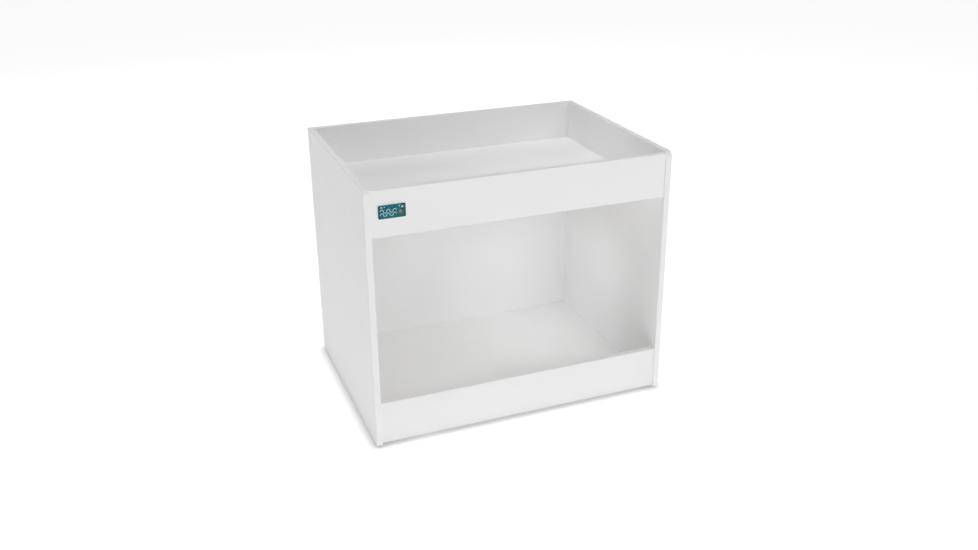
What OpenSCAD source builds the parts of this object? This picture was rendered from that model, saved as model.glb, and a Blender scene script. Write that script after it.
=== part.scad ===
// Open-front aquarium stand cabinet: a sunken tank deck above an open lower compartment.
// Millimetres. +Z is up, the open front faces -Y, and the origin is at the centre of the
// footprint, on the floor. The boards are butt-jointed with dowels and cam fittings.

/* [Cabinet] */
// Overall width, across the outer faces of the two side panels
cabinet_w = 750; // [650:5:900]
// Overall depth, from the side panels' front edges to their rear edges
cabinet_d = 547; // [450:1:650]
// Overall height, from the floor to the top of the side panels
cabinet_h = 636; // [560:1:760]

/* [Boards] */
// Thickness of the side, front and back boards
board_t = 15; // [15:1:18]
// Thickness of the tank deck and of the bottom shelf
shelf_t = 12; // [12:1:16]
// Thickness of the edge banding
band_t = 1; // [0.5:0.5:2]
// Radius of the side panels' rounded front corners
corner_r = 15; // [5:1:20]

/* [Front boards] */
// How far the two front boards stand back from the side panels' front edges
front_setback = 4; // [2:1:8]
// Height of the upper front board, which hides the foot of the tank
fascia_h = 108; // [100:1:130]
// How far the upper front board's top lies below the side panels' top
fascia_drop = 5; // [0:1:8]
// Height of the lower front board
kick_h = 105; // [100:1:130]
// Gap between the floor and every board that doesn't stand on it
floor_gap = 10; // [8:1:20]

/* [Deck support] */
// Height of the battens under the tank deck
batten_h = 30; // [25:1:40]
// Width of the battens under the tank deck
batten_w = 20; // [18:1:30]
// Distance from the upper front board to the front end of the side battens
batten_front_gap = 80; // [60:5:120]
// Height of the rail that crosses the cabinet under the middle of the deck
rail_h = 60; // [50:1:90]

/* [Badge] */
// Width of the maker's plate
badge_w = 64.5; // [60:0.5:80]
// Height of the maker's plate
badge_h = 33.5; // [32:0.5:40]
// Distance from the left side panel to the plate
badge_from_side = 15.5; // [10:0.5:40]

/* [Hidden] */
$fn = 64;

white_board = [0.93, 0.93, 0.92];
white_band = [0.96, 0.96, 0.95];
pine = [0.82, 0.68, 0.47];
beech = [0.78, 0.60, 0.42];
steel = [0.72, 0.73, 0.75];
zinc = [0.62, 0.63, 0.65];
teal = [0.00, 0.38, 0.46];

bore_clearance = 0.1;   // radial room round a loose fitting
end_room = 1;           // empty length past a fitting's end, and past an open mouth

// planes that the boards share
inner_w = cabinet_w - 2 * board_t;
front_y = -cabinet_d / 2;
rear_y = cabinet_d / 2;
front_board_y = front_y + front_setback;             // front face of both front boards
front_inner_y = front_board_y + board_t;             // their rear face
back_inner_y = rear_y - board_t;                     // front face of the back panel
shelf_d = back_inner_y - front_inner_y;
fascia_z = cabinet_h - fascia_drop - fascia_h;       // lower edge of the upper front board
deck_z = fascia_z;                                   // the deck's underside is flush with it
shelf_z = floor_gap;
front_joint_y = front_board_y + board_t / 2;
back_joint_y = rear_y - board_t / 2;
fascia_mid_z = fascia_z + fascia_h / 2;
kick_mid_z = floor_gap + kick_h / 2;
rail_z = deck_z - rail_h;
rail_mid_z = deck_z - rail_h / 2;

// fitting sizes
dowel_8_r = 4;
dowel_6_r = 3;
dowel_into_face = 10;
dowel_into_end = 20;
dowel_pitch = 32;       // from a cam fitting to the dowel above or below it
rail_dowel_pitch = 18;
cam_r = 7.5;
cam_depth = 12;
cam_cap_t = 1;
cam_reach = 34;         // from the board's end to the cam's centre
bolt_thread_r = 2.5;
bolt_thread_l = 10;
bolt_shank_r = 3;
bolt_neck_r = 2;
bolt_head_r = 3.4;
bolt_bore_r = 4;
screw_r = 2;
screw_head_r = 4;
screw_bite = 10;        // how far a screw goes into the board past its batten

// [y, z] of the fittings along the side panels' inner faces
back_cam_z = [for (share = [0.14, 0.52, 0.90]) share * cabinet_h];
back_dowel_z = [for (share = [0.33, 0.71]) share * cabinet_h];
cam_joints = concat([[front_joint_y, fascia_mid_z], [front_joint_y, kick_mid_z], [0, rail_mid_z]],
                    [for (z = back_cam_z) [back_joint_y, z]]);
dowel_8_joints = concat([for (z = [fascia_mid_z, kick_mid_z], side = [-1, 1])
                             [front_joint_y, z + side * dowel_pitch]],
                        [for (side = [-1, 1]) [0, rail_mid_z + side * rail_dowel_pitch]],
                        [for (z = back_dowel_z) [back_joint_y, z]]);
shelf_mid_z = [shelf_z + shelf_t / 2, deck_z + shelf_t / 2];
shelf_dowel_y = [for (share = [-0.36, -0.12, 0.12, 0.36]) share * shelf_d];
shelf_dowel_x = [for (share = [-1, 0, 1]) share * inner_w / 3];

// battens: [first y, last y] of the two pieces along each side
batten_z = deck_z - batten_h;
batten_mid_z = deck_z - batten_h / 2;
front_span = [front_inner_y + batten_front_gap, -board_t / 2];
rear_span = [board_t / 2, back_inner_y - batten_w];
side_screw_y = [for (span = [front_span, rear_span], share = [0.2, 0.8])
                    span[0] + share * (span[1] - span[0])];
deck_screw_y = [for (span = [front_span, rear_span]) (span[0] + span[1]) / 2];
rear_screw_x = [for (share = [-0.42, -0.14, 0.14, 0.42]) share * inner_w];

// the maker's plate, in layers from the board outwards
pad_t = 0.4;
plate_t = 0.8;
inlay_t = 0.2;
mark_t = 0.1;
dome_t = 0.8;
badge_corner_r = 4.5;
badge_rim = 1.25;       // white rim of the plate round the coloured inlay
badge_x = -inner_w / 2 + badge_from_side + badge_w / 2;
badge_z = fascia_mid_z + 4;
wave_r = 3.6;           // radius of one crest
wave_line_w = 1.5;
wave_crests = 5;
wave_middle_x = -8;     // the waves lie left of the badge's middle
wave_z = [-6.5, 1.5];   // level of each wave line
bubbles = [[-23, 10.5, 2], [-16.5, 11, 1.2], [23.5, 8, 2.4], [17, 10.5, 1.4]]; // x, z, radius
disc_at = [19, -3];
disc_r = 4;

// ---- shared shapes ----

// A plain board from one corner to the other.
module slab(low, high) {
    translate(low) cube(high - low);
}

// Side view of a side panel, drawn as [y, z], its top and front edges moved in by inset.
module side_outline(inset) {
    r = corner_r - inset;
    arc_y = front_y + corner_r;
    translate([arc_y, 0]) square([rear_y - arc_y, cabinet_h - inset]);
    translate([front_y + inset, corner_r]) square([corner_r, cabinet_h - 2 * corner_r]);
    for (z = [corner_r, cabinet_h - corner_r])
        translate([arc_y, z]) circle(r);
}

// Stands a [y, z] drawing up as a plate on the left side panel's place.
module left_side_plate() {
    translate([-cabinet_w / 2, 0, 0]) rotate([90, 0, 90]) linear_extrude(board_t) children();
}

// Puts children at each joint of both sides, +X running into the joined board.
module at_side_joints(joints) {
    for (side = [0, 1], joint = joints)
        mirror([side, 0, 0]) translate([-inner_w / 2, joint[0], joint[1]]) children();
}

// A round bar along +X that starts at x = from.
module bar_x(r, from, length) {
    translate([from, 0, 0]) rotate([0, 90, 0]) cylinder(r = r, h = length);
}

// A round bar along +Y that starts at y = from.
module bar_y(r, from, length) {
    translate([0, from, 0]) rotate([-90, 0, 0]) cylinder(r = r, h = length);
}

// ---- holes ----

// Dowel and cam-bolt holes in the ends of the upright boards.
module end_bores() {
    at_side_joints(cam_joints) {
        bar_x(bolt_bore_r, -end_room, cam_reach + end_room);
        translate([cam_reach, 0, 0]) bar_y(cam_r, board_t / 2 - cam_depth, cam_depth + end_room);
    }
    at_side_joints(dowel_8_joints) bar_x(dowel_8_r, -end_room, dowel_into_end + 2 * end_room);
}

// Dowel holes in the side edges of the deck and the shelf.
module shelf_side_bores() {
    at_side_joints([for (y = shelf_dowel_y, z = shelf_mid_z) [y, z]])
        bar_x(dowel_6_r, -end_room, dowel_into_end + 2 * end_room);
}

// Dowel holes in the front and rear edges of the deck and the shelf.
module shelf_edge_bores() {
    for (x = shelf_dowel_x, z = shelf_mid_z, edge = [0, 1])
        translate([x, 0, z]) mirror([0, edge, 0])
            bar_y(dowel_6_r, -(edge == 0 ? back_inner_y : -front_inner_y) - end_room,
                  dowel_into_end + 2 * end_room);
}

// The same dowels' holes in the boards that the deck and the shelf meet.
module board_face_bores() {
    depth = dowel_into_face + end_room;
    for (x = shelf_dowel_x, z = shelf_mid_z) {
        translate([x, 0, z]) bar_y(dowel_6_r, back_inner_y - end_room, depth + end_room);
        translate([x, 0, z]) bar_y(dowel_6_r, front_inner_y - depth, depth + end_room);
    }
}

// A hole of the given depth in a side panel's inner face, for children of at_side_joints.
module side_face_bore(r, depth) {
    bar_x(r, -depth, depth + end_room);
}

// Everything drilled into the two side panels' inner faces.
module side_bores() {
    dowel_depth = dowel_into_face + end_room;
    at_side_joints(cam_joints) side_face_bore(bolt_thread_r, bolt_thread_l);
    at_side_joints(dowel_8_joints) side_face_bore(dowel_8_r, dowel_depth);
    at_side_joints([for (y = shelf_dowel_y, z = shelf_mid_z) [y, z]])
        side_face_bore(dowel_6_r, dowel_depth);
    at_side_joints([for (y = side_screw_y) [y, batten_mid_z]]) side_face_bore(screw_r, screw_bite);
}

// ---- side panels ----

module side_panel_left() {
    color(white_board) difference() {
        left_side_plate() side_outline(band_t);
        side_bores();
    }
}

module side_panel_right() {
    mirror([1, 0, 0]) side_panel_left();
}

// One strip over the top edge, down the front and round to where the bottom edge starts.
module side_edge_band_left() {
    color(white_band) left_side_plate() difference() {
        side_outline(0);
        side_outline(band_t);
    }
}

module side_edge_band_right() {
    mirror([1, 0, 0]) side_edge_band_left();
}

// ---- back panel ----

module back_panel() {
    color(white_board) difference() {
        slab([-inner_w / 2, back_inner_y, floor_gap], [inner_w / 2, rear_y, cabinet_h - band_t]);
        end_bores();
        board_face_bores();
        for (x = rear_screw_x)
            translate([x, 0, batten_mid_z]) bar_y(screw_r, back_inner_y - end_room, screw_bite + end_room);
    }
}

module back_top_edge_band() {
    color(white_band)
        slab([-inner_w / 2, back_inner_y, cabinet_h - band_t], [inner_w / 2, rear_y, cabinet_h]);
}

// ---- front boards ----

// The core of a front board between its two edge bands.
module front_board(low_z, high_z) {
    color(white_board) difference() {
        slab([-inner_w / 2, front_board_y, low_z + band_t],
             [inner_w / 2, front_inner_y, high_z - band_t]);
        end_bores();
        board_face_bores();
    }
}

module front_board_band(low_z) {
    color(white_band)
        slab([-inner_w / 2, front_board_y, low_z], [inner_w / 2, front_inner_y, low_z + band_t]);
}

module front_fascia() {
    front_board(fascia_z, fascia_z + fascia_h);
}

module fascia_top_edge_band() {
    front_board_band(fascia_z + fascia_h - band_t);
}

module fascia_bottom_edge_band() {
    front_board_band(fascia_z);
}

module kick_board() {
    front_board(floor_gap, floor_gap + kick_h);
}

module kick_top_edge_band() {
    front_board_band(floor_gap + kick_h - band_t);
}

module kick_bottom_edge_band() {
    front_board_band(floor_gap);
}

// ---- deck and shelf ----

module shelf_board(low_z) {
    difference() {
        slab([-inner_w / 2, front_inner_y, low_z], [inner_w / 2, back_inner_y, low_z + shelf_t]);
        shelf_side_bores();
        shelf_edge_bores();
    }
}

module tank_deck() {
    color(white_board) difference() {
        shelf_board(deck_z);
        at_deck_screws() bar_x(screw_r, 0, batten_h + screw_bite);
    }
}

module bottom_shelf() {
    color(white_board) shelf_board(shelf_z);
}

// ---- deck support ----

// Puts children at the head of each screw that goes up through a batten, +X up into the deck.
module at_deck_screws() {
    side_x = (inner_w - batten_w) / 2;
    for (x = [-side_x, side_x], y = deck_screw_y)
        translate([x, y, batten_z]) rotate([0, -90, 0]) children();
    for (x = rear_screw_x)
        translate([x + dowel_pitch, back_inner_y - batten_w / 2, batten_z]) rotate([0, -90, 0]) children();
}

// Puts children at the head of each screw from a batten into the panel behind it, +X into the panel.
module at_batten_screws() {
    for (turn = [0, 1], y = side_screw_y)
        mirror([turn, 0, 0]) translate([-inner_w / 2 + batten_w, y, batten_mid_z])
            rotate([0, 0, 180]) children();
    for (x = rear_screw_x)
        translate([x, back_inner_y - batten_w, batten_mid_z]) rotate([0, 0, 90]) children();
}

// A countersunk wood screw along +X, its head's flat face at the origin.
module wood_screw(length) {
    head_h = screw_head_r - screw_r;
    tip_l = 3;
    slot_w = 0.9;
    slot_l = 4.4;
    slot_depth = 1.2;
    rotate([0, 90, 0]) difference() {
        rotate_extrude() polygon([[0, 0], [screw_head_r, 0], [screw_r, head_h],
                                  [screw_r, length - tip_l], [0, length]]);
        for (turn = [0, 90])
            rotate([0, 0, turn]) translate([-slot_l / 2, -slot_w / 2, -slot_depth])
                cube([slot_l, slot_w, 2 * slot_depth]);
    }
}

// The clearance hole and countersink that such a screw needs in its batten.
module screw_bore(length) {
    sink_r = screw_head_r + bore_clearance;
    hole_r = screw_r + bore_clearance;
    rotate([0, 90, 0]) rotate_extrude()
        polygon([[0, -end_room], [sink_r, -end_room], [sink_r, 0], [hole_r, sink_r - hole_r],
                 [hole_r, length], [0, length]]);
}

module batten(low, high) {
    color(pine) difference() {
        slab(low, high);
        at_batten_screws() screw_bore(batten_w + end_room);
        at_deck_screws() screw_bore(batten_h + end_room);
    }
}

module left_batten(span) {
    batten([-inner_w / 2, span[0], batten_z], [-inner_w / 2 + batten_w, span[1], deck_z]);
}

module deck_batten_left_front() {
    left_batten(front_span);
}

module deck_batten_left_rear() {
    left_batten(rear_span);
}

module deck_batten_right_front() {
    mirror([1, 0, 0]) left_batten(front_span);
}

module deck_batten_right_rear() {
    mirror([1, 0, 0]) left_batten(rear_span);
}

module deck_batten_rear() {
    batten([-inner_w / 2, back_inner_y - batten_w, batten_z], [inner_w / 2, back_inner_y, deck_z]);
}

module deck_cross_rail() {
    color(white_board) difference() {
        slab([-inner_w / 2, -board_t / 2, rail_z], [inner_w / 2, board_t / 2, deck_z]);
        end_bores();
    }
}

// ---- fittings ----

// A grooved dowel with chamfered ends, along +X.
module dowel(r) {
    length = dowel_into_face + dowel_into_end;
    chamfer = 1;
    translate([-dowel_into_face, 0, 0]) rotate([0, 90, 0]) rotate_extrude()
        polygon([[0, 0], [r - chamfer, 0], [r, chamfer], [r, length - chamfer],
                 [r - chamfer, length], [0, length]]);
}

module wooden_dowels_8mm() {
    color(beech) at_side_joints(dowel_8_joints) dowel(dowel_8_r);
}

module wooden_dowels_6mm() {
    color(beech) {
        at_side_joints([for (y = shelf_dowel_y, z = shelf_mid_z) [y, z]]) dowel(dowel_6_r);
        for (x = shelf_dowel_x, z = shelf_mid_z) {
            translate([x, back_inner_y, z]) rotate([0, 0, -90]) dowel(dowel_6_r);
            translate([x, front_inner_y, z]) rotate([0, 0, 90]) dowel(dowel_6_r);
        }
    }
}

// The bolt screws into the side panel, and its round head stands in the cam.
module cam_bolt() {
    collar_r = bolt_shank_r + 0.6;
    collar_t = 1.5;
    neck_l = 6;
    head_l = 4;
    shank_end = cam_reach - neck_l - head_l / 2;
    tip = cam_reach + head_l / 2;
    rotate([0, 90, 0]) rotate_extrude()
        polygon([[0, -bolt_thread_l], [bolt_thread_r, -bolt_thread_l], [bolt_thread_r, 0],
                 [collar_r, 0], [collar_r, collar_t], [bolt_shank_r, collar_t],
                 [bolt_shank_r, shank_end], [bolt_neck_r, shank_end + 1],
                 [bolt_neck_r, tip - head_l], [bolt_head_r, tip - head_l + 1],
                 [bolt_head_r, tip - 1], [bolt_neck_r, tip], [0, tip]]);
}

module cam_bolts() {
    color(steel) at_side_joints(cam_joints) cam_bolt();
}

// A drum with a pocket for the bolt's head and a cross slot in its face.
module cam_lock() {
    drum_r = cam_r - bore_clearance;
    drum_h = cam_depth - cam_cap_t;
    pocket_r = bolt_head_r + 0.5;
    slot_w = 1.6;
    slot_l = 8;
    slot_depth = 2.5;
    face_y = board_t / 2 - cam_cap_t;
    translate([cam_reach, 0, 0]) difference() {
        bar_y(drum_r, face_y - drum_h, drum_h);
        bar_x(pocket_r, -drum_r - 1, drum_r + 1 + pocket_r);
        for (turn = [0, 90])
            rotate([0, turn, 0]) translate([-slot_l / 2, face_y - slot_depth, -slot_w / 2])
                cube([slot_l, slot_depth + 1, slot_w]);
    }
}

module cam_locks() {
    color(zinc) at_side_joints(cam_joints) cam_lock();
}

module cam_caps() {
    spigot_r = 0.7;
    spigot_l = 2;
    color(white_band) at_side_joints(cam_joints) translate([cam_reach, 0, 0]) {
        bar_y(cam_r, board_t / 2 - cam_cap_t, cam_cap_t);
        bar_y(spigot_r, board_t / 2 - cam_cap_t - spigot_l, spigot_l);
    }
}

module batten_screws() {
    color(steel) at_batten_screws() wood_screw(batten_w + screw_bite);
}

module deck_screws() {
    color(steel) at_deck_screws() wood_screw(batten_h + screw_bite);
}

// ---- badge ----

// A rounded rectangle about the badge's centre, its edge moved in by inset.
module badge_outline(inset) {
    r = badge_corner_r - inset;
    w = badge_w - 2 * inset;
    h = badge_h - 2 * inset;
    square([w - 2 * r, h], center = true);
    square([w, h - 2 * r], center = true);
    for (x = [-1, 1], z = [-1, 1])
        translate([x * (w / 2 - r), z * (h / 2 - r)]) circle(r);
}

// Stands a drawing up on the fascia, its rear face from_board away from the board.
module on_fascia(from_board, thickness) {
    translate([badge_x, front_board_y - from_board, badge_z]) rotate([90, 0, 0])
        linear_extrude(thickness) children();
}

module badge_adhesive_pad() {
    color("gray") on_fascia(0, pad_t) badge_outline(2);
}

module badge_plate() {
    color("white") on_fascia(pad_t, plate_t) badge_outline(0);
}

module badge_inlay() {
    color(teal) on_fascia(pad_t + plate_t, inlay_t) badge_outline(badge_rim);
}

// Half a ring, above or below the line through its centre.
module half_ring(r, width, above) {
    difference() {
        circle(r + width / 2);
        circle(r - width / 2);
        translate([-2 * r, above ? -4 * r : 0]) square(4 * r);
    }
}

// A row of crests and troughs about the origin.
module wave_line() {
    for (i = [0 : wave_crests - 1])
        translate([(i - (wave_crests - 1) / 2) * 2 * wave_r, 0])
            half_ring(wave_r, wave_line_w, i % 2 == 0);
}

module badge_wave_mark() {
    color([0.90, 0.96, 0.97]) on_fascia(pad_t + plate_t + inlay_t, mark_t) {
        for (z = wave_z)
            translate([wave_middle_x, z]) wave_line();
        for (bubble = bubbles)
            translate([bubble[0], bubble[1]]) circle(bubble[2]);
    }
}

module badge_disc_mark() {
    color([0.80, 0.52, 0.20]) on_fascia(pad_t + plate_t + inlay_t, mark_t)
        translate(disc_at) circle(disc_r);
}

// Clear resin over the printed face.
module badge_dome() {
    base = pad_t + plate_t + inlay_t + mark_t;
    color([0.85, 0.95, 0.97, 0.35]) on_fascia(base, dome_t) badge_outline(badge_rim);
}

side_panel_left();
side_panel_right();
side_edge_band_left();
side_edge_band_right();
back_panel();
back_top_edge_band();
front_fascia();
fascia_top_edge_band();
fascia_bottom_edge_band();
kick_board();
kick_top_edge_band();
kick_bottom_edge_band();
tank_deck();
bottom_shelf();
deck_cross_rail();
deck_batten_rear();
deck_batten_left_front();
deck_batten_left_rear();
deck_batten_right_front();
deck_batten_right_rear();
wooden_dowels_8mm();
wooden_dowels_6mm();
cam_bolts();
cam_locks();
cam_caps();
batten_screws();
deck_screws();
badge_adhesive_pad();
badge_plate();
badge_inlay();
badge_wave_mark();
badge_disc_mark();
badge_dome();
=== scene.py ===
"""Looks for the aquarium stand cabinet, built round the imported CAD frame. Units are metres.

The boards keep their CAD solids. The edge bands, battens, dowels, screws, cam bolts, cam caps and
the badge's plate and dome get finer meshes in the places that their CAD nodes hold.
"""

import math

import bmesh
import bpy
from mathutils import Matrix, Quaternion, Vector


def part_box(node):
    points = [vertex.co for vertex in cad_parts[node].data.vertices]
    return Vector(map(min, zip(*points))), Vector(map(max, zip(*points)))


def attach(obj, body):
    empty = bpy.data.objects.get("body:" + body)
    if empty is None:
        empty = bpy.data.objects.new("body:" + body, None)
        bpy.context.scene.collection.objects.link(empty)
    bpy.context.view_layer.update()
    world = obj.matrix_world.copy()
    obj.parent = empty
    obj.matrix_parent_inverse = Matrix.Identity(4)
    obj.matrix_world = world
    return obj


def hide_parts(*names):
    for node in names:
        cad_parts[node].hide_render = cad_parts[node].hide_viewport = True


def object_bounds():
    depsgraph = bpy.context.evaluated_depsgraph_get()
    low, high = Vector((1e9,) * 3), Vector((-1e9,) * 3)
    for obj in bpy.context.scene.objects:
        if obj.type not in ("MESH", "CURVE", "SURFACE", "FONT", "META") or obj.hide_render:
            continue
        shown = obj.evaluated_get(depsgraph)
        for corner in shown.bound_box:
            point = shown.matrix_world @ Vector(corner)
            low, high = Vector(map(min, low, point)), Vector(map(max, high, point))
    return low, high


MM = 0.001
TURN = 2 * math.pi

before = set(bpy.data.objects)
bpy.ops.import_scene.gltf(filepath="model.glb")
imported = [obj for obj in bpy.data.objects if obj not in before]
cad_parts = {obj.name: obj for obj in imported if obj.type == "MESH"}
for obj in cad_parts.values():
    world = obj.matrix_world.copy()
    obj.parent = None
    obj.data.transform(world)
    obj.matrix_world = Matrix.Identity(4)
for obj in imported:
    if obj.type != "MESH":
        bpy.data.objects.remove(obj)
cad_low, cad_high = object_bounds()


# ---- node trees ----


class Shading:
    """A material's node tree, with short ways to add what the materials below share."""

    def __init__(self, name):
        self.material = bpy.data.materials.new(name)
        self.material.use_nodes = True
        self.tree = self.material.node_tree
        self.tree.nodes.clear()
        self.output = self.tree.nodes.new("ShaderNodeOutputMaterial")
        self.place = self.add("ShaderNodeTexCoord").outputs["Object"]

    def add(self, kind, inputs=None, **settings):
        """A new node. An input's value is another node's output, or a plain number or colour."""
        node = self.tree.nodes.new(kind)
        for name, value in settings.items():
            setattr(node, name, value)
        for key, value in (inputs or {}).items():
            if isinstance(value, bpy.types.NodeSocket):
                self.tree.links.new(value, node.inputs[key])
            else:
                node.inputs[key].default_value = value
        return node

    def maths(self, operation, *values):
        node = self.add("ShaderNodeMath", dict(enumerate(values)), operation=operation)
        return node.outputs[0]

    def split(self, vector):
        """The X, Y and Z of a vector."""
        return self.add("ShaderNodeSeparateXYZ", {0: vector}).outputs

    def shifted(self, offset, scale=(1, 1, 1)):
        """The piece's own coordinates moved by offset and then scaled."""
        inputs = {"Vector": self.place, "Location": offset, "Scale": scale}
        return self.add("ShaderNodeMapping", inputs).outputs[0]

    def noise(self, scale, detail=3.0, roughness=0.5, distortion=0.0, place=None):
        inputs = {
            "Vector": place or self.place,
            "Scale": scale,
            "Detail": detail,
            "Roughness": roughness,
            "Distortion": distortion,
        }
        return self.add("ShaderNodeTexNoise", inputs).outputs[0]

    def fit(self, value, low, high, to_low=0.0, to_high=1.0):
        """Maps low..high to to_low..to_high, and stops at both ends."""
        inputs = {"Value": value, 1: low, 2: high, 3: to_low, 4: to_high}
        return self.add("ShaderNodeMapRange", inputs).outputs[0]

    def ramp(self, value, *stops):
        """A colour for value, from (place, colour) stops."""
        node = self.add("ShaderNodeValToRGB", {0: value})
        elements = node.color_ramp.elements
        while len(elements) < len(stops):
            elements.new(0.5)
        for element, (at, colour) in zip(elements, stops):
            element.position = at
            element.color = (*colour, 1)
        return node.outputs[0]

    def mix(self, share, first, second, blend="MIX"):
        """A colour that runs from first to second as share goes from 0 to 1."""
        node = self.add("ShaderNodeMix", {0: share}, data_type="RGBA", blend_type=blend)
        for socket, value in ((node.inputs[6], first), (node.inputs[7], second)):
            if isinstance(value, bpy.types.NodeSocket):
                self.tree.links.new(value, socket)
            else:
                socket.default_value = (*value, 1)
        return node.outputs[2]

    def bump(self, height, distance, strength=1.0, under=None):
        inputs = {"Height": height, "Distance": distance, "Strength": strength}
        if under is not None:
            inputs["Normal"] = under
        return self.add("ShaderNodeBump", inputs).outputs[0]

    def principled(self, **inputs):
        """Ends the tree in a Principled shader. Keywords name its sockets, with _ for a space."""
        named = {key.replace("_", " "): value for key, value in inputs.items()}
        shader = self.add("ShaderNodeBsdfPrincipled", named)
        self.tree.links.new(shader.outputs[0], self.output.inputs["Surface"])
        return self.material


FLAT_COS = 0.995  # the bevelled normal is this near the true one away from any edge
EDGE_COS = 0.80  # and this far from it right on a sharp edge


def edge_wear(shading, width):
    """1 along the piece's sharp edges, falling to 0 at about width from them."""
    bevel = shading.add("ShaderNodeBevel", {"Radius": width}, samples=4).outputs[0]
    normal = shading.add("ShaderNodeNewGeometry").outputs["Normal"]
    facing = shading.add("ShaderNodeVectorMath", {0: bevel, 1: normal}, operation="DOT_PRODUCT")
    return shading.fit(facing.outputs["Value"], FLAT_COS, EDGE_COS)


# ---- materials ----

WHITE_FACE = (0.930, 0.931, 0.931)
WHITE_FACE_DULL = (0.912, 0.913, 0.913)
WORN_FACE = (0.72, 0.71, 0.68)
WHITE_BAND = (0.935, 0.936, 0.936)
WHITE_BAND_DULL = (0.915, 0.916, 0.916)
WORN_BAND = (0.74, 0.73, 0.70)
WEAR_SHARE = 0.3  # the most that wear changes a colour
SKIN_T = 0.3 * MM  # melamine paper and its glue, over the chipboard core


def chipboard(shading):
    """Colour and height of a raw chipboard edge."""
    chips = shading.add(
        "ShaderNodeTexVoronoi",
        {"Vector": shading.place, "Scale": 420.0, "Randomness": 1.0},
        distance="EUCLIDEAN",
    )
    tone = shading.add("ShaderNodeRGBToBW", {0: chips.outputs["Color"]}).outputs[0]
    colour = shading.ramp(
        tone,
        (0.0, (0.30, 0.19, 0.10)),
        (0.45, (0.50, 0.36, 0.21)),
        (1.0, (0.68, 0.53, 0.34)),
    )
    return colour, chips.outputs["Distance"]


def melamine(name, thickness_axis, middle, half_thickness):
    """White melamine-faced board: a fine orange peel on both faces, raw chipboard on cut edges."""
    s = Shading(name)
    depth = s.split(s.place)["XYZ".index(thickness_axis.upper())]
    from_middle = s.maths("ABSOLUTE", s.maths("SUBTRACT", s.maths("ABSOLUTE", depth), abs(middle)))
    skin = s.fit(from_middle, half_thickness - 1.2 * SKIN_T, half_thickness - 0.8 * SKIN_T)
    clouds = s.noise(7.0, detail=4.0, roughness=0.55)
    white = s.mix(s.fit(clouds, 0.35, 0.65), WHITE_FACE, WHITE_FACE_DULL)
    wear = s.maths("MULTIPLY", edge_wear(s, 1.2 * MM), s.fit(s.noise(60.0), 0.45, 0.7))
    worn = s.mix(s.maths("MULTIPLY", wear, WEAR_SHARE), white, WORN_FACE)
    core, chip_height = chipboard(s)
    peel = s.noise(650.0, detail=2.0)
    height = s.mix(skin, chip_height, s.maths("MULTIPLY", peel, 0.06))
    rough = s.fit(s.noise(35.0, detail=5.0), 0.3, 0.7, 0.40, 0.50)
    return s.principled(
        Base_Color=s.mix(skin, core, worn),
        Roughness=s.maths("ADD", rough, s.fit(skin, 0.0, 1.0, 0.4, 0.0)),
        IOR=1.46,
        Normal=s.bump(height, 0.5 * MM, 0.6),
    )


def edge_banding():
    """White ABS strip, a little smoother than the board, with fine scraper marks."""
    s = Shading("edge_banding")
    clouds = s.noise(11.0, detail=4.0)
    white = s.mix(s.fit(clouds, 0.35, 0.65), WHITE_BAND, WHITE_BAND_DULL)
    wear = s.maths("MULTIPLY", edge_wear(s, 0.8 * MM), s.fit(s.noise(45.0), 0.45, 0.7))
    peel = s.noise(900.0, detail=2.0)
    chatter = s.noise(260.0, detail=1.0, distortion=0.4)
    height = s.maths("ADD", peel, s.maths("MULTIPLY", chatter, 0.6))
    return s.principled(
        Base_Color=s.mix(s.maths("MULTIPLY", wear, WEAR_SHARE), white, WORN_BAND),
        Roughness=s.fit(s.noise(50.0, detail=4.0), 0.3, 0.7, 0.33, 0.45),
        IOR=1.50,
        Normal=s.bump(height, 0.03 * MM, 0.5),
    )


def wood(name, run, pith, ring_w, pale, dark, roughness):
    """Solid wood whose growth rings lie about a line along run, off the piece's own middle."""
    s = Shading(name)
    stretch = tuple(0.06 if axis == run else 1.0 for axis in "xyz")
    along = s.shifted((0, 0, 0), stretch)
    sway = s.noise(28.0, detail=2.0, place=along)
    moved = s.shifted(tuple(-p for p in pith))
    flat = s.add(
        "ShaderNodeVectorMath",
        {0: moved, 1: tuple(0.0 if axis == run else 1.0 for axis in "xyz")},
        operation="MULTIPLY",
    ).outputs[0]
    distance = s.add("ShaderNodeVectorMath", {0: flat}, operation="LENGTH").outputs["Value"]
    swayed = s.maths("ADD", distance, s.maths("MULTIPLY", sway, 3.0 * ring_w))
    rings = s.maths("FRACT", s.maths("DIVIDE", swayed, ring_w))
    late = s.ramp(
        rings,
        (0.0, (0, 0, 0)),
        (0.55, (0.15, 0.15, 0.15)),
        (0.92, (1, 1, 1)),
        (1.0, (0, 0, 0)),
    )
    fibre = s.noise(900.0, detail=3.0, place=along)
    tone = s.mix(s.fit(fibre, 0.3, 0.75), (1.0, 1.0, 1.0), (0.86, 0.82, 0.76))
    colour = s.mix(1.0, s.mix(late, pale, dark), tone, blend="MULTIPLY")
    return s.principled(
        Base_Color=colour,
        Roughness=s.fit(fibre, 0.2, 0.8, roughness, roughness + 0.15),
        Normal=s.bump(s.maths("ADD", fibre, s.maths("MULTIPLY", rings, 0.3)), 0.08 * MM, 0.7),
    )


def metal(name, colour, low_rough, high_rough, grain, depth):
    """Bare or plated metal with spots of a duller, rougher tone."""
    s = Shading(name)
    spots = s.noise(grain, detail=4.0, roughness=0.65)
    dull = tuple(0.72 * c for c in colour)
    return s.principled(
        Base_Color=s.mix(s.fit(spots, 0.35, 0.8), colour, dull),
        Metallic=1.0,
        Roughness=s.fit(spots, 0.3, 0.7, low_rough, high_rough),
        Normal=s.bump(spots, depth, 0.6),
    )


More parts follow.
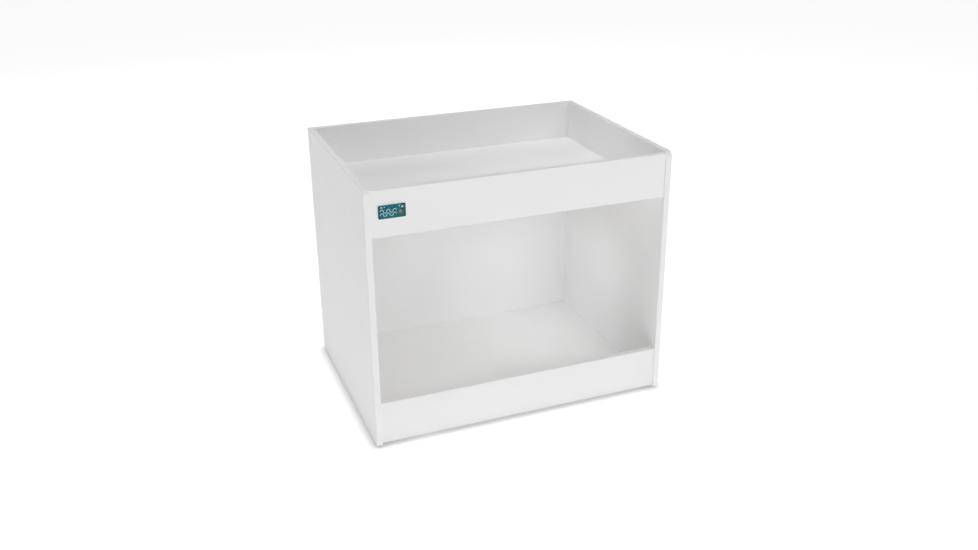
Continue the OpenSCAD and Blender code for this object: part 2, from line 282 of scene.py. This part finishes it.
def moulded_plastic(name, colour, roughness):
    """Plain plastic with a fine moulded grain."""
    s = Shading(name)
    spark = s.noise(1500.0, detail=2.0)
    clouds = s.noise(120.0, detail=3.0)
    dull = tuple(0.93 * c for c in colour)
    return s.principled(
        Base_Color=s.mix(s.fit(clouds, 0.35, 0.65), colour, dull),
        Roughness=s.fit(clouds, 0.3, 0.7, roughness, roughness + 0.1),
        Normal=s.bump(spark, 0.03 * MM, 0.5),
    )


TEAL_DARK = (0.000, 0.140, 0.185)
TEAL = (0.000, 0.205, 0.260)
TEAL_PALE = (0.000, 0.280, 0.330)
WATER_BLUE = (0.001, 0.150, 0.380)
TEAL_BORDER = (0.000, 0.115, 0.145)


def printed_film(centre, width, height):
    """Deep teal water, bluer near its top, that darkens towards the border."""
    s = Shading("printed_film")
    x, _, z = s.split(s.shifted(tuple(-c for c in centre)))
    across = s.maths("POWER", s.maths("ABSOLUTE", s.maths("DIVIDE", x, width / 2)), 8.0)
    up = s.maths("POWER", s.maths("ABSOLUTE", s.maths("DIVIDE", z, height / 2)), 5.0)
    border = s.maths("MINIMUM", s.maths("ADD", across, up), 1.0)
    water = s.noise(60.0, detail=3.0, distortion=1.2)
    teal = s.ramp(water, (0.32, TEAL_DARK), (0.50, TEAL), (0.68, TEAL_PALE))
    ripples = s.fit(s.noise(110.0, detail=2.0, place=s.shifted((0, 0, 0), (1, 1, 4))), 0.50, 0.70)
    blue_band = s.fit(z, 0.15 * height, 0.35 * height, 0.0, 0.75)
    watery = s.mix(s.maths("MULTIPLY", ripples, blue_band), teal, WATER_BLUE)
    return s.principled(
        Base_Color=s.mix(s.maths("MULTIPLY", border, 0.8), watery, TEAL_BORDER),
        Roughness=s.fit(water, 0.3, 0.7, 0.55, 0.65),
        Specular_IOR_Level=0.1,
        Normal=s.bump(s.noise(2500.0), 0.01 * MM, 0.3),
    )


def printed_ink(name, low, high, middle_z, half_height):
    """Screen-printed ink that runs from one shade to another as it rises."""
    s = Shading(name)
    _, _, z = s.split(s.place)
    level = s.fit(z, middle_z - half_height, middle_z + half_height)
    speckle = s.fit(s.noise(1800.0), 0.4, 0.7, 0.0, 0.2)
    worn = s.mix(speckle, s.mix(level, low, high), tuple(0.7 * c for c in low))
    return s.principled(
        Base_Color=worn,
        Roughness=s.fit(speckle, 0.0, 0.2, 0.45, 0.6),
        Specular_IOR_Level=0.1,
    )


RESIN_IOR = 1.22  # below the true 1.5, so that little of the white floor shows in it


def clear_resin():
    """Clear cast resin: see-through, with a mirror share that grows at a glancing angle."""
    s = Shading("clear_resin")
    ripple = s.bump(s.noise(90.0, detail=1.0), 0.2 * MM, 0.15)
    clear = s.add("ShaderNodeBsdfTransparent", {"Color": (0.98, 1.0, 1.0, 1)}).outputs[0]
    gloss = s.add("ShaderNodeBsdfGlossy", {"Roughness": 0.06, "Normal": ripple}).outputs[0]
    share = s.add("ShaderNodeFresnel", {"IOR": RESIN_IOR, "Normal": ripple}).outputs[0]
    both = s.add("ShaderNodeMixShader", {0: share, 1: clear, 2: gloss}).outputs[0]
    s.tree.links.new(both, s.output.inputs["Surface"])
    return s.material


def foam_tape():
    """Dark grey foam with open cells."""
    s = Shading("foam_tape")
    cells = s.add("ShaderNodeTexVoronoi", {"Vector": s.place, "Scale": 2600.0}).outputs["Distance"]
    return s.principled(
        Base_Color=s.mix(s.fit(cells, 0.0, 0.6), (0.10, 0.10, 0.10), (0.24, 0.24, 0.24)),
        Roughness=s.fit(cells, 0.0, 0.6, 0.8, 0.95),
        Normal=s.bump(cells, 0.1 * MM, 0.8),
    )


# ---- mesh building ----

SMOOTH_UNDER = math.radians(32)  # edges that turn more than this stay sharp
WELD = 1e-6


def loft(mesh, rings):
    """Skins closed rings of points in order and closes both ends."""
    made = [[mesh.verts.new(point) for point in ring] for ring in rings]
    for first, second in zip(made, made[1:]):
        for i in range(len(first)):
            j = (i + 1) % len(first)
            mesh.faces.new((first[i], first[j], second[j], second[i]))
    mesh.faces.new(made[0])
    mesh.faces.new(list(reversed(made[-1])))


def piece_for(nodes, mesh, material):
    """Makes a bmesh into a piece that stands for these CAD nodes and has their finish."""
    name = nodes[0] + "_finished"
    bmesh.ops.recalc_face_normals(mesh, faces=mesh.faces)
    data = bpy.data.meshes.new(name)
    mesh.to_mesh(data)
    mesh.free()
    data.shade_smooth()
    data.set_sharp_from_angle(angle=SMOOTH_UNDER)
    data.materials.append(material)
    piece = bpy.data.objects.new(name, data)
    bpy.context.scene.collection.objects.link(piece)
    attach(piece, "root")
    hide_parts(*nodes)
    return piece


def paint(node, material):
    """Gives a CAD node that stays a better material."""
    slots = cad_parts[node].data.materials
    slots.clear()
    slots.append(material)


def solids_of(node):
    """The points of each separate solid in a CAD node, one list a solid."""
    mesh = bmesh.new()
    mesh.from_mesh(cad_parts[node].data)
    bmesh.ops.remove_doubles(mesh, verts=mesh.verts, dist=WELD)
    mesh.verts.ensure_lookup_table()
    seen = set()
    found = []
    for start in mesh.verts:
        if start.index in seen:
            continue
        island = []
        waiting = [start]
        seen.add(start.index)
        while waiting:
            vertex = waiting.pop()
            island.append(vertex.co.copy())
            for edge in vertex.link_edges:
                other = edge.other_vert(vertex)
                if other.index not in seen:
                    seen.add(other.index)
                    waiting.append(other)
        found.append(island)
    mesh.free()
    return found


def limits(points):
    """The low and the high corner of the box round these points."""
    low = Vector([min(p[i] for p in points) for i in range(3)])
    high = Vector([max(p[i] for p in points) for i in range(3)])
    return low, high


def long_axis(points):
    """(middle of the wide end, unit vector to the other end, length) of a long round solid."""
    low, high = limits(points)
    run = max(range(3), key=lambda i: high[i] - low[i])
    middle = (low + high) / 2
    length = high[run] - low[run]
    first = middle.copy()
    first[run] = low[run]
    last = middle.copy()
    last[run] = high[run]
    reach = 0.1 * length

    def spread(end):
        near = [p for p in points if abs(p[run] - end[run]) < reach]
        return max((p - end).length for p in near)

    if spread(first) < spread(last):
        first, last = last, first
    return first, (last - first).normalized(), length


def placed(start, direction):
    """A matrix that puts a template, made along +Z from the origin, at start along direction."""
    turn = Vector((0, 0, 1)).rotation_difference(direction).to_matrix().to_4x4()
    return Matrix.Translation(start) @ turn


def gather(node, template, material):
    """One piece with a copy of the template for each solid of a CAD node."""
    mesh = bmesh.new()
    for points in solids_of(node):
        start, direction, _ = long_axis(points)
        copy = template.copy()
        copy.transform(placed(start, direction))
        mesh.from_mesh(copy)
        bpy.data.meshes.remove(copy)
    bpy.data.meshes.remove(template)
    return piece_for([node], mesh, material)


def circle(radius, z, steps, wobble=None):
    """A ring of points about Z. wobble gives a point's extra radius from its angle."""
    ring = []
    for i in range(steps):
        angle = TURN * i / steps
        r = radius + (wobble(angle) if wobble else 0.0)
        ring.append(Vector((r * math.cos(angle), r * math.sin(angle), z)))
    return ring


def turned(profile, steps=24):
    """A mesh turned about Z from (z, radius) points."""
    mesh = bmesh.new()
    loft(mesh, [circle(max(r, 0.02 * MM), z, steps) for z, r in profile])
    data = bpy.data.meshes.new("turned")
    mesh.to_mesh(data)
    mesh.free()
    return data


ROWS_PER_TURN = 6
POINT_SHARE = 0.06  # what is left of the radius at a screw's point
FLANK = 2.6  # how steeply a thread's flanks rise


def thread_rings(start, end, core, crest, pitch, steps, taper=0.0):
    """Rings of a screw thread. The radius runs to a point over the last taper of its length."""
    rings = []
    rows = int((end - start) / pitch * ROWS_PER_TURN)
    for row in range(rows + 1):
        z = start + (end - start) * row / rows
        share = min(1.0, (end - z) / taper) if taper else 1.0
        share = max(share, POINT_SHARE)

        def wobble(angle, z=z, share=share):
            phase = (z / pitch - angle / TURN) % 1.0
            return share * (crest - core) * max(0.0, 1.0 - FLANK * abs(phase - 0.5))

        rings.append(circle(core * share, z, steps, wobble))
    return rings


# ---- edge bands ----

CORNER_R = 15 * MM  # outer radius where the side panels' bands go round the front corners
BAND_ARRIS = 0.8 * MM  # the band's outer edges are scraped round
BAND_SEAM = 0.12 * MM  # nick between the band and the board's face


def band_section(width, thickness):
    """A band's cross-section as (across the board, out of the edge) points."""
    half = [(BAND_SEAM, 0.0), (0.0, BAND_SEAM)]
    steps = 6
    for i in range(steps + 1):
        angle = math.pi / 2 * i / steps
        across = BAND_ARRIS * (1 - math.cos(angle))
        out = thickness - BAND_ARRIS * (1 - math.sin(angle))
        half.append((across, out))
    return half + [(width - across, out) for across, out in reversed(half)]


def straight_band(node, out_sign, material):
    """The band along the top or bottom edge of a board that runs across the cabinet."""
    low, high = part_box(node)
    foot_z = low.z if out_sign > 0 else high.z
    section = band_section(high.y - low.y, high.z - low.z)
    mesh = bmesh.new()
    rings = []
    for x in (low.x, high.x):
        rings.append([Vector((x, low.y + a, foot_z + out_sign * o)) for a, o in section])
    loft(mesh, rings)
    return piece_for([node], mesh, material)


def side_band(node, material):
    """The band over a side panel's top, down its front and round its lower front corner."""
    low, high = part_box(node)
    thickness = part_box(node.replace("edge_band", "panel"))[0].y - low.y
    section = band_section(high.x - low.x, thickness)
    inner_r = CORNER_R - thickness
    centre_y = low.y + CORNER_R
    stations = [(high.y, high.z - CORNER_R, 0.0)]
    steps = 16
    for centre_z, turn_from in ((high.z - CORNER_R, 0.0), (low.z + CORNER_R, math.pi / 2)):
        for i in range(steps + 1):
            stations.append((centre_y, centre_z, turn_from + math.pi / 2 * i / steps))
    rings = []
    for y, z, turn in stations:
        out = Vector((0, -math.sin(turn), math.cos(turn)))
        foot = Vector((0, y, z)) + inner_r * out
        rings.append([foot + Vector((low.x + a, 0, 0)) + o * out for a, o in section])
    mesh = bmesh.new()
    loft(mesh, rings)
    return piece_for([node], mesh, material)


def make_bands():
    material = edge_banding()
    for node in ("back_top_edge_band", "fascia_top_edge_band", "kick_top_edge_band"):
        straight_band(node, 1, material)
    for node in ("fascia_bottom_edge_band", "kick_bottom_edge_band"):
        straight_band(node, -1, material)
    for node in ("side_edge_band_left", "side_edge_band_right"):
        side_band(node, material)


# ---- boards ----

BOARDS = (
    "side_panel_left",
    "side_panel_right",
    "back_panel",
    "front_fascia",
    "kick_board",
    "tank_deck",
    "bottom_shelf",
    "deck_cross_rail",
)


def make_boards():
    for node in BOARDS:
        low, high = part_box(node)
        axis = min("xyz", key=lambda a: getattr(high, a) - getattr(low, a))
        middle = getattr(low + high, axis) / 2
        half = getattr(high - low, axis) / 2
        paint(node, melamine("melamine_" + node, axis, middle, half))


# ---- battens ----

BATTENS = (
    "deck_batten_rear",
    "deck_batten_left_front",
    "deck_batten_left_rear",
    "deck_batten_right_front",
    "deck_batten_right_rear",
)
BATTEN_ARRIS = 1.5 * MM
RING_W = 2.6 * MM
PITH_OFF = Vector((14, 14, -22)) * MM  # where the tree's middle was, from the first batten's own
PITH_STEP = Vector((0, 0, -5)) * MM  # and how much lower for each batten after it
PINE_PALE = (0.66, 0.47, 0.27)
PINE_DARK = (0.45, 0.26, 0.11)


def make_battens():
    for number, node in enumerate(BATTENS):
        low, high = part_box(node)
        mesh = bmesh.new()
        bmesh.ops.create_cube(mesh, size=1.0)
        size = high - low
        bmesh.ops.scale(mesh, vec=size, verts=mesh.verts)
        bmesh.ops.translate(mesh, vec=(low + high) / 2, verts=mesh.verts)
        bmesh.ops.bevel(
            mesh,
            geom=list(mesh.edges),
            offset=BATTEN_ARRIS,
            segments=3,
            profile=0.5,
            affect="EDGES",
        )
        run = "x" if size.x > size.y else "y"
        pith = (low + high) / 2 + PITH_OFF + number * PITH_STEP
        material = wood("pine_" + node, run, pith, RING_W, PINE_PALE, PINE_DARK, 0.6)
        piece_for([node], mesh, material)


# ---- fittings ----

SCREW_HEAD_R = 4 * MM
SCREW_R = 2 * MM
SCREW_CORE_R = 1.35 * MM
SCREW_POINT_L = 3 * MM
SCREW_PITCH = 1.8 * MM
RECESS_DEPTH = 2.2 * MM
RECESS_ACROSS = 4.6 * MM
RECESS_ARM_W = 1 * MM


def cross_recess(mesh, depth, across, thickness):
    """A tapered cross to cut out of a screw's head at z = 0."""
    for swap in (False, True):
        rings = []
        for z, share in ((-0.5 * MM, 1.1), (depth, 0.45)):
            a = across / 2 * share
            b = thickness / 2 * (0.75 + 0.25 * share)
            corners = [(-a, -b), (a, -b), (a, b), (-a, b)]
            rings.append([Vector((v, u, z)) if swap else Vector((u, v, z)) for u, v in corners])
        loft(mesh, rings)


def cut(template, cutter_mesh):
    """The template mesh less the cutter's shape."""
    body = bpy.data.objects.new("cut_body", template)
    tool_data = bpy.data.meshes.new("cut_tool")
    bmesh.ops.recalc_face_normals(cutter_mesh, faces=cutter_mesh.faces)
    cutter_mesh.to_mesh(tool_data)
    cutter_mesh.free()
    tool = bpy.data.objects.new("cut_tool", tool_data)
    for made in (body, tool):
        bpy.context.scene.collection.objects.link(made)
    modifier = body.modifiers.new("cut", "BOOLEAN")
    modifier.operation = "DIFFERENCE"
    modifier.solver = "EXACT"
    modifier.use_self = True
    modifier.object = tool
    graph = bpy.context.evaluated_depsgraph_get()
    result = bpy.data.meshes.new_from_object(body.evaluated_get(graph))
    for made in (body, tool):
        bpy.data.objects.remove(made)
    for used in (template, tool_data):
        bpy.data.meshes.remove(used)
    return result


def wood_screw(length):
    """A countersunk, cross-headed wood screw from its head's flat face at the origin along +Z."""
    steps = 20
    head = [
        (0.0, 3.75 * MM),
        (0.12 * MM, SCREW_HEAD_R),
        (0.35 * MM, SCREW_HEAD_R),
        (2.3 * MM, SCREW_R),
    ]
    rings = [circle(r, z, steps) for z, r in head]
    rings.append(circle(SCREW_CORE_R, 0.32 * length, steps))
    thread = (SCREW_CORE_R, SCREW_R, SCREW_PITCH, steps, SCREW_POINT_L)
    rings += thread_rings(0.34 * length, length, *thread)
    mesh = bmesh.new()
    loft(mesh, rings)
    bmesh.ops.recalc_face_normals(mesh, faces=mesh.faces)
    data = bpy.data.meshes.new("wood_screw")
    mesh.to_mesh(data)
    mesh.free()
    cutter = bmesh.new()
    cross_recess(cutter, RECESS_DEPTH, RECESS_ACROSS, RECESS_ARM_W)
    return cut(data, cutter)


def fluted_dowel(radius, length):
    """A dowel with glue flutes and chamfered ends, from the origin along +Z."""
    flutes = 18
    steps = 4 * flutes
    depth = 0.25 * MM

    def groove(angle):
        return -depth * max(0.0, math.cos(flutes * angle)) ** 2

    chamfer = 1.0 * MM
    rings = [
        circle(radius - chamfer, 0.0, steps),
        circle(radius, chamfer, steps, groove),
        circle(radius, length - chamfer, steps, groove),
        circle(radius - chamfer, length, steps),
    ]
    mesh = bmesh.new()
    loft(mesh, rings)
    data = bpy.data.meshes.new("dowel")
    mesh.to_mesh(data)
    mesh.free()
    return data


def cam_bolt(length):
    """A cam bolt from the tip of its thread at the origin along +Z to its round head."""
    steps = 20
    thread_l = 10 * MM
    rings = [circle(1.5 * MM, 0.0, steps)]
    rings += thread_rings(0.0, thread_l - 0.4 * MM, 1.9 * MM, 2.5 * MM, 1.2 * MM, steps)
    shape = [
        (thread_l, 2.4 * MM),
        (thread_l, 3.5 * MM),
        (thread_l + 0.2 * MM, 3.6 * MM),
        (thread_l + 1.4 * MM, 3.6 * MM),
        (thread_l + 1.6 * MM, 3.0 * MM),
        (length - 8.6 * MM, 3.0 * MM),
        (length - 7.6 * MM, 2.0 * MM),
        (length - 4.0 * MM, 2.0 * MM),
        (length - 3.6 * MM, 2.7 * MM),
        (length - 2.6 * MM, 3.35 * MM),
        (length - 1.4 * MM, 3.35 * MM),
        (length - 0.5 * MM, 2.7 * MM),
        (length, 1.6 * MM),
    ]
    rings += [circle(r, z, steps) for z, r in shape]
    mesh = bmesh.new()
    loft(mesh, rings)
    data = bpy.data.meshes.new("cam_bolt")
    mesh.to_mesh(data)
    mesh.free()
    return data


BEECH_PALE = (0.60, 0.40, 0.23)
BEECH_DARK = (0.46, 0.28, 0.14)


def make_fittings():
    steel = metal("zinc_plated_steel", (0.66, 0.68, 0.71), 0.22, 0.38, 240.0, 0.02 * MM)
    zinc = metal("die_cast_zinc", (0.50, 0.51, 0.53), 0.42, 0.60, 420.0, 0.06 * MM)
    beech_pith = (4 * MM, 3 * MM, 2 * MM)
    beech = wood("beech", "y", beech_pith, 1.1 * MM, BEECH_PALE, BEECH_DARK, 0.6)
    for node in ("batten_screws", "deck_screws"):
        length = long_axis(solids_of(node)[0])[2]
        gather(node, wood_screw(length), steel)
    for node, radius in (("wooden_dowels_8mm", 4 * MM), ("wooden_dowels_6mm", 3 * MM)):
        length = long_axis(solids_of(node)[0])[2]
        gather(node, fluted_dowel(radius, length), beech)
    make_cam_bolts(steel)
    paint("cam_locks", zinc)
    make_cam_caps(moulded_plastic("cap_plastic", (0.90, 0.90, 0.89), 0.38))


def make_cam_bolts(material):
    """Each bolt's thread is in the side panel, so it runs towards the cabinet's middle."""
    mesh = bmesh.new()
    for points in solids_of("cam_bolts"):
        start, direction, length = long_axis(points)
        outer = max(start, start + direction * length, key=lambda end: abs(end.x))
        inward = Vector((-1 if outer.x > 0 else 1, 0, 0))
        copy = cam_bolt(length)
        copy.transform(placed(outer, inward))
        mesh.from_mesh(copy)
        bpy.data.meshes.remove(copy)
    piece_for(["cam_bolts"], mesh, material)


CAP_T = 3 * MM
CAP_R = 7.45 * MM
CAP_CROWN = 0.25 * MM  # the crown's middle stands this much above its rim
CAP_PEG_R = 0.6 * MM
CAP_PEG_L = 2 * MM


def make_cam_caps(material):
    """Thin caps over the cam locks, crowned, with the crown level with the board's face."""
    profile = [
        (0.0, CAP_PEG_R),
        (CAP_PEG_L, CAP_PEG_R),
        (CAP_PEG_L, CAP_R - 0.3 * MM),
        (CAP_PEG_L + 0.15 * MM, CAP_R),
        (CAP_T - CAP_CROWN - 0.2 * MM, CAP_R),
        (CAP_T - CAP_CROWN, CAP_R - 0.25 * MM),
        (CAP_T - 0.45 * CAP_CROWN, 0.72 * CAP_R),
        (CAP_T - 0.12 * CAP_CROWN, 0.40 * CAP_R),
        (CAP_T, 0.05 * MM),
    ]
    mesh = bmesh.new()
    for points in solids_of("cam_caps"):
        low, high = limits(points)
        middle = (low + high) / 2
        foot = Vector((middle.x, high.y - CAP_T, middle.z))
        copy = turned(profile, steps=40)
        copy.transform(placed(foot, Vector((0, 1, 0))))
        mesh.from_mesh(copy)
        bpy.data.meshes.remove(copy)
    piece_for(["cam_caps"], mesh, material)


# ---- badge ----

BADGE_CORNER_R = 4.5 * MM
BADGE_RIM = 1.25 * MM
PLATE_ARRIS = 0.25 * MM
DOME_WALL = 0.15 * MM
DOME_CROWN_W = 5 * MM  # how far in from its edge the dome becomes flat
INK_REACH = 10 * MM  # the inks' shades change over this much above and below the middle
AQUA = ((0.50, 0.76, 0.74), (0.86, 0.94, 0.92))
AMBER = ((0.50, 0.20, 0.03), (0.74, 0.40, 0.10))


def rounded_rectangle(width, height, radius, y, centre):
    """A ring of points in the XZ plane at y."""
    steps = 8
    ring = []
    for corner, (sx, sz) in enumerate(((1, 1), (-1, 1), (-1, -1), (1, -1))):
        for i in range(steps + 1):
            angle = TURN / 4 * (corner + i / steps)
            x = sx * (width / 2 - radius) + radius * math.cos(angle)
            z = sz * (height / 2 - radius) + radius * math.sin(angle)
            ring.append(Vector((centre.x + x, y, centre.z + z)))
    return ring


def layered_plate(node, corner_r, layers, material):
    """A plate in the badge's plane, from (inset of its edge, depth from its rear face) layers."""
    low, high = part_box(node)
    centre = (low + high) / 2
    size = high - low
    rings = []
    for inset, out in layers:
        radius = max(corner_r - inset, 0.3 * MM)
        rings.append(
            rounded_rectangle(size.x - 2 * inset, size.z - 2 * inset, radius, high.y - out, centre)
        )
    mesh = bmesh.new()
    loft(mesh, rings)
    return piece_for([node], mesh, material)


def domed(crown_w, wall, rise, steps):
    """(inset, depth) layers that go up a wall and round a quarter ellipse to the top."""
    layers = [(0.0, 0.0), (0.0, wall)]
    for i in range(1, steps + 1):
        angle = TURN / 4 * i / steps
        layers.append((crown_w * (1 - math.cos(angle)), wall + rise * math.sin(angle)))
    return layers


def make_badge():
    plate_low, plate_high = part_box("badge_plate")
    plate_t = plate_high.y - plate_low.y
    plate_layers = domed(PLATE_ARRIS, plate_t - PLATE_ARRIS, PLATE_ARRIS, 4)
    rim = moulded_plastic("badge_rim", (0.93, 0.95, 0.95), 0.2)
    layered_plate("badge_plate", BADGE_CORNER_R, plate_layers, rim)
    low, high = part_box("badge_inlay")
    centre = (low + high) / 2
    paint("badge_inlay", printed_film(centre, high.x - low.x, high.z - low.z))
    paint("badge_wave_mark", printed_ink("pale_ink", *AQUA, centre.z, INK_REACH))
    paint("badge_disc_mark", printed_ink("amber_ink", *AMBER, centre.z, INK_REACH))
    paint("badge_adhesive_pad", foam_tape())
    dome_low, dome_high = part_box("badge_dome")
    dome_t = dome_high.y - dome_low.y
    dome_layers = domed(DOME_CROWN_W, DOME_WALL, dome_t - DOME_WALL, 12)
    layered_plate("badge_dome", BADGE_CORNER_R - BADGE_RIM, dome_layers, clear_resin())


# ---- studio ----

FLOOR_HALF = 15.0
FLOOR_GLOW = 0.725
PAINTED_SHADOW_REACH = 29 * MM  # painted contact shadow: how near the cabinet ambient occlusion dims the floor's glow
PAINTED_SHADOW_FALL = 1.5  # and how quickly this painted shadow fades out
WORLD_LIGHT = 0.272
DIFFUSE_BOUNCES = 8  # white boards pass light on many times inside the compartment
# Big softboxes: name, azimuth and elevation in degrees, watts
SOFTBOXES = (
    ("softbox_front", 14.0, 28.0, 22.5),
    ("softbox_rear", 180.0, 30.0, 12.5),
    ("softbox_top", 0.0, 85.0, 38.0),
)
COOL = (0.95, 0.975, 1.0)  # the hollows come out a little warmer than the photo without it
SOFTBOX_DISTANCE = 4.0
SOFTBOX_SIZE = (1.6, 1.2)
# Small panels that light the hollows, which the softboxes alone leave darker than the photo.
# Each row: name, place, aim, size, spread in degrees, watts. The first two hang under the deck;
# their height is counted from the rail's lower edge. The others' is counted from the cabinet's top.
LOWER_FILLS = (
    ("fill_back", (-0.03, -0.16, -0.045), (0, 0.8, -0.6), (0.44, 0.10), 150, 0.23),
    ("fill_corner", (0.03, -0.20, -0.045), (0.46, 0.7, -0.62), (0.16, 0.04), 75, 0.085),
)
UPPER_FILLS = (
    ("fill_recess", (0, 0, 0.61), (0, 0, -1), (0.7, 0.5), 90, 0.09),
    ("fill_recess_right", (-0.15, 0, 0.51), (0.5, 0, -0.6), (0.3, 0.5), 70, 0.18),
)
CAMERA_TARGET = Vector((0.0382, 0.0, 0.3306))
CAMERA_AZIMUTH = -21.756
CAMERA_ELEVATION = 22.170
CAMERA_DISTANCE = 2.6078
CAMERA_ROLL = -0.2935
CAMERA_LENS = 37.09
CAMERA_SHIFT = (-0.0083, -0.0239)


def direction(azimuth, elevation):
    """Unit vector from the cabinet; azimuth 0 is straight out of its front, 90 its right side."""
    a = math.radians(azimuth)
    e = math.radians(elevation)
    return Vector((math.sin(a) * math.cos(e), -math.cos(a) * math.cos(e), math.sin(e)))


def make_floor():
    """A plain pale floor that glows a little, with a painted contact shadow: ambient occlusion dims
    its glow where the cabinet stands over it.
    """
    mesh = bmesh.new()
    bmesh.ops.create_grid(mesh, x_segments=1, y_segments=1, size=FLOOR_HALF)
    data = bpy.data.meshes.new("floor")
    mesh.to_mesh(data)
    mesh.free()
    s = Shading("floor")
    grain = s.noise(30.0, detail=3.0)
    # painted contact shadow: the floor's glow is dimmed by ambient occlusion near the cabinet
    nearness = s.add("ShaderNodeAmbientOcclusion", {"Distance": PAINTED_SHADOW_REACH}, samples=16)
    painted_shadow_share = s.maths("POWER", nearness.outputs["AO"], PAINTED_SHADOW_FALL)
    glow = s.maths("MULTIPLY", painted_shadow_share, FLOOR_GLOW)
    data.materials.append(
        s.principled(
            Base_Color=s.mix(s.fit(grain, 0.3, 0.7), (0.80, 0.80, 0.80), (0.79, 0.79, 0.79)),
            Roughness=0.9,
            Specular_IOR_Level=0.0,
            Emission_Color=(1, 1, 1, 1),
            Emission_Strength=glow,
        )
    )
    floor = bpy.data.objects.new("floor", data)
    bpy.context.scene.collection.objects.link(floor)


def make_lights():
    world = bpy.data.worlds.new("studio")
    bpy.context.scene.world = world
    world.use_nodes = True
    background = world.node_tree.nodes["Background"]
    background.inputs["Color"].default_value = (1, 1, 1, 1)
    background.inputs["Strength"].default_value = WORLD_LIGHT
    middle = (cad_low + cad_high) / 2
    for name, azimuth, elevation, watts in SOFTBOXES:
        away = direction(azimuth, elevation)
        panel_light(name, middle + away * SOFTBOX_DISTANCE, -away, SOFTBOX_SIZE, 180, watts)
    rail_z = Vector((0, 0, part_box("deck_cross_rail")[0].z))
    for name, place, aim, size, spread, watts in LOWER_FILLS:
        panel_light(name, rail_z + Vector(place), aim, size, spread, watts, COOL)
    top_z = Vector((0, 0, cad_high.z))
    for name, place, aim, size, spread, watts in UPPER_FILLS:
        panel_light(name, top_z + Vector(place), aim, size, spread, watts)


def panel_light(name, place, aim, size, spread, watts, colour=(1, 1, 1)):
    """A soft panel that the camera doesn't see."""
    data = bpy.data.lights.new(name, "AREA")
    data.shape = "RECTANGLE"
    data.size, data.size_y = size
    data.spread = math.radians(spread)
    data.energy = watts
    data.color = colour
    lamp = bpy.data.objects.new(name, data)
    lamp.location = place
    lamp.rotation_mode = "QUATERNION"
    lamp.rotation_quaternion = (-Vector(aim)).to_track_quat("Z", "Y")
    lamp.visible_camera = False
    bpy.context.scene.collection.objects.link(lamp)


def make_camera():
    data = bpy.data.cameras.new("camera")
    data.sensor_width = 36.0
    data.lens = CAMERA_LENS
    data.shift_x, data.shift_y = CAMERA_SHIFT
    data.clip_end = 4 * FLOOR_HALF
    camera = bpy.data.objects.new("camera", data)
    away = direction(CAMERA_AZIMUTH, CAMERA_ELEVATION)
    camera.location = CAMERA_TARGET + away * CAMERA_DISTANCE
    camera.rotation_mode = "QUATERNION"
    roll = Quaternion((0, 0, 1), math.radians(CAMERA_ROLL))
    camera.rotation_quaternion = (-away).to_track_quat("-Z", "Y") @ roll
    bpy.context.scene.collection.objects.link(camera)
    bpy.context.scene.camera = camera
    bpy.context.scene.view_settings.view_transform = "Standard"
    bpy.context.scene.cycles.diffuse_bounces = DIFFUSE_BOUNCES


make_camera()
make_lights()
make_floor()
make_boards()
make_bands()
make_battens()
make_fittings()
make_badge()
